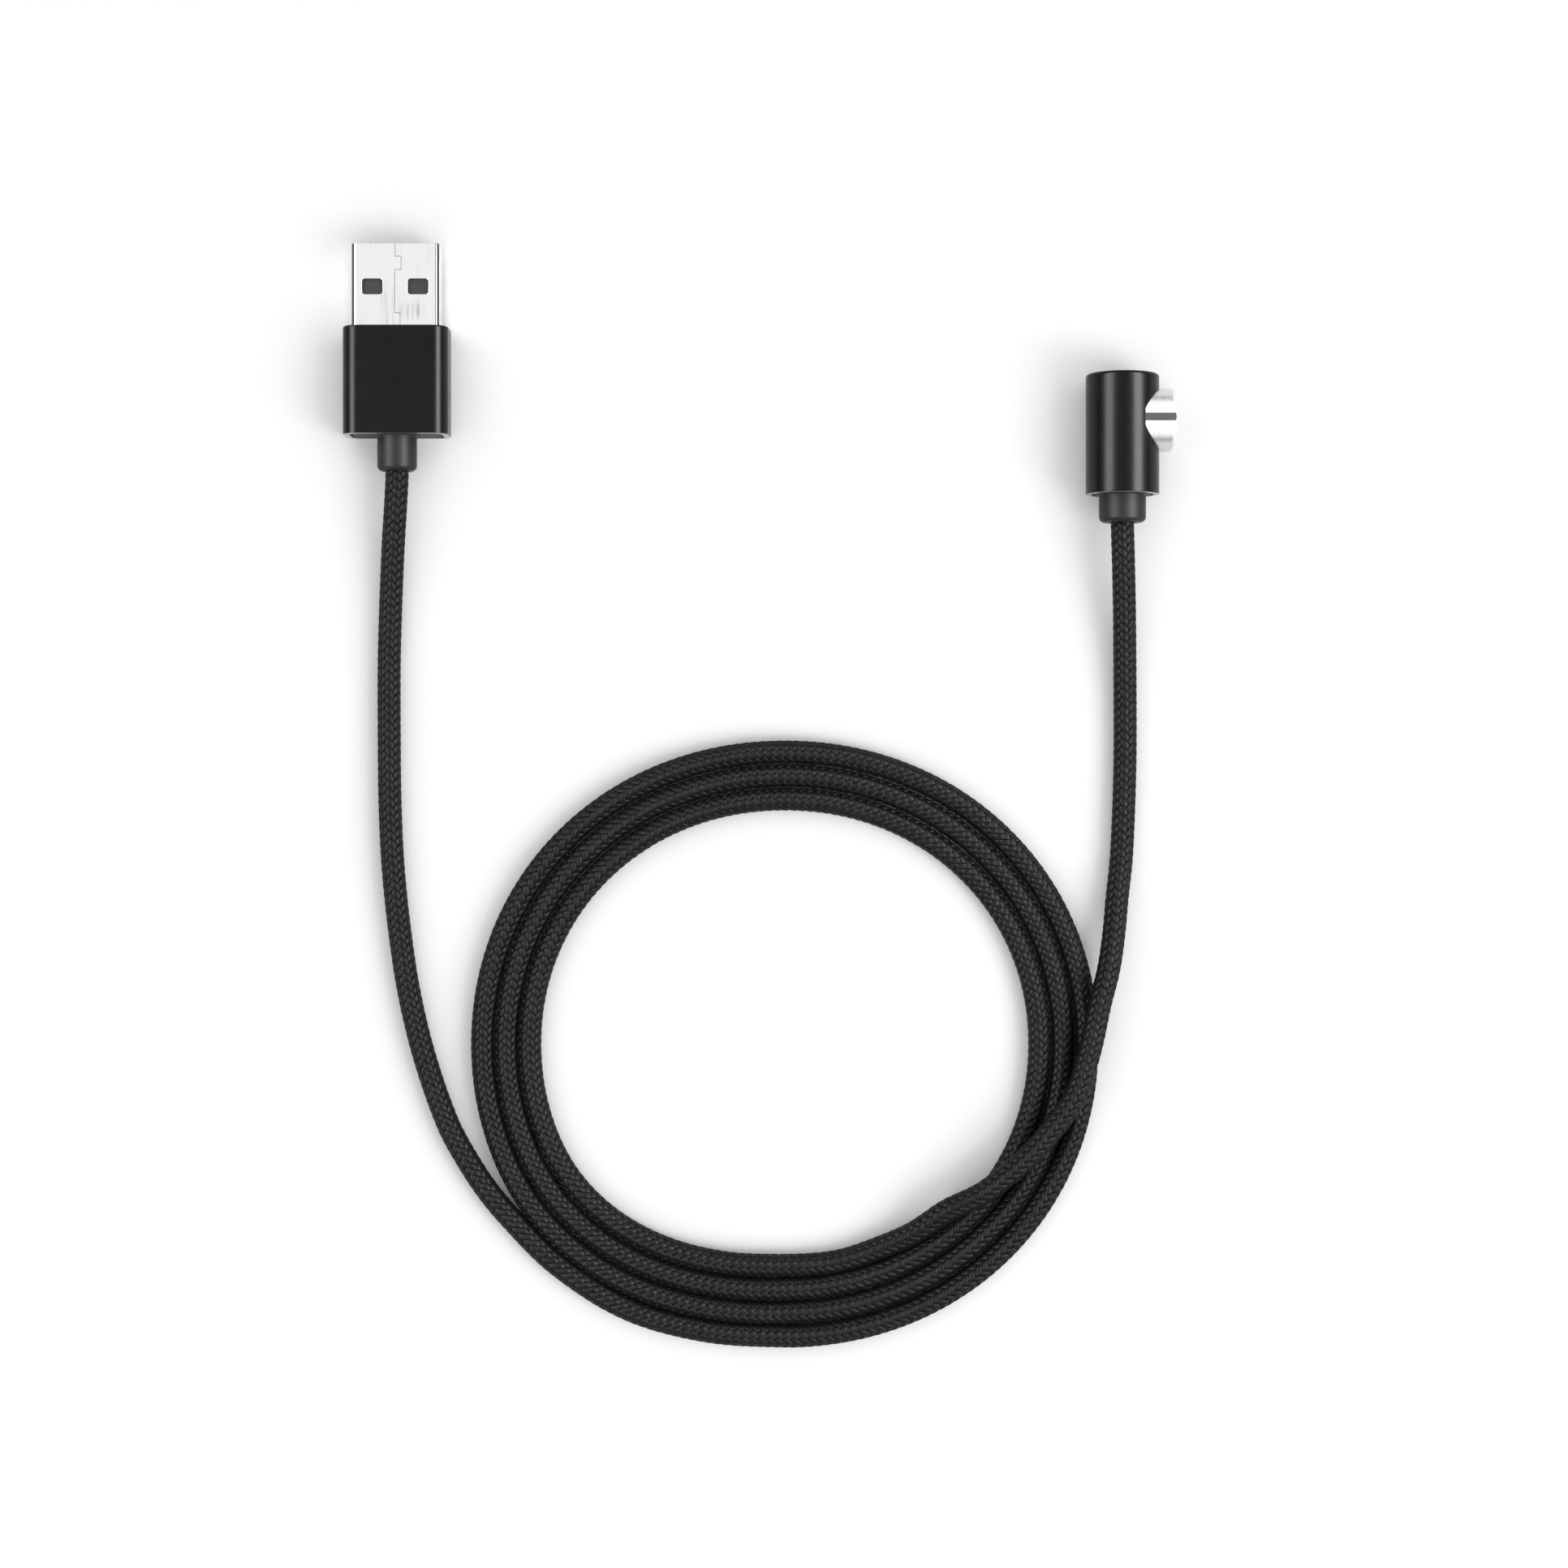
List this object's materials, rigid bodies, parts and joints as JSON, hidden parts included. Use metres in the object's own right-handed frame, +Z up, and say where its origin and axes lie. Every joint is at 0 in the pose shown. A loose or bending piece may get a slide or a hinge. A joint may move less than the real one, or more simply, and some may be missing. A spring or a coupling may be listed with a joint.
{
  "type": "charging cable",
  "caption": "Braided charging cable with a flat metal power plug at one end and a round right-angle magnetic contact head at the other, lying coiled flat.",
  "frame": {"origin": "bottom centre of the box around the plug and the head, on the surface the cable lies on", "axes": "+X from the plug towards the head, +Y the way the plug's tip points, away from the coil, +Z up"},
  "size_m": [0.1134, 0.1512, 0.01],
  "materials": {
    "steel": "bright folded and polished steel",
    "anodised": "black anodised aluminium, satin",
    "rubber": "matt dark grey moulding",
    "braid": "black braided yarn",
    "plastic": "dark plastic",
    "key": "dark grey plastic, satin",
    "gold": "gold plated contact",
    "brass": "crimped brass",
    "magnet": "nickel plated magnet",
    "spring": "spring steel",
    "board": "green solder mask",
    "red_wire": "red wire insulation",
    "black_wire": "black wire insulation"
  },
  "bodies": {
    "cable": {"usb_shell": "steel", "usb_insulator": "plastic", "usb_contact_power": "gold", "usb_contact_data_minus": "gold", "usb_contact_data_plus": "gold", "usb_contact_ground": "gold", "usb_housing": "anodised", "usb_strain_relief": "rubber", "usb_crimp_sleeve": "brass", "usb_cord_end": "braid", "usb_wire_positive": "red_wire", "usb_wire_negative": "black_wire", "head_barrel": "anodised", "head_collar": "steel", "head_locating_key": "key", "head_magnet": "magnet", "head_contact_disc": "plastic", "pin_sleeve": "gold", "pin_spring": "spring", "head_circuit_board": "board", "head_carrier": "plastic", "head_strain_relief": "rubber", "head_crimp_sleeve": "brass", "head_cord_end": "braid", "head_wire_positive": "red_wire", "head_wire_negative": "black_wire", "cord_usb_lead": "braid", "cord_coil": "braid", "cord_head_lead": "braid"},
    "contact_pin": {"contact_pin": "gold"}
  },
  "joints": [
    {"name": "contact_pin_travel", "type": "slide", "parent": "cable", "child": "contact_pin", "axis": [-1, 0, 0], "range_m": [0, 0.00035], "stiffness_N_per_m": 300, "springref_m": -0.0003, "deforming": ["pin_spring"]}
  ]
}
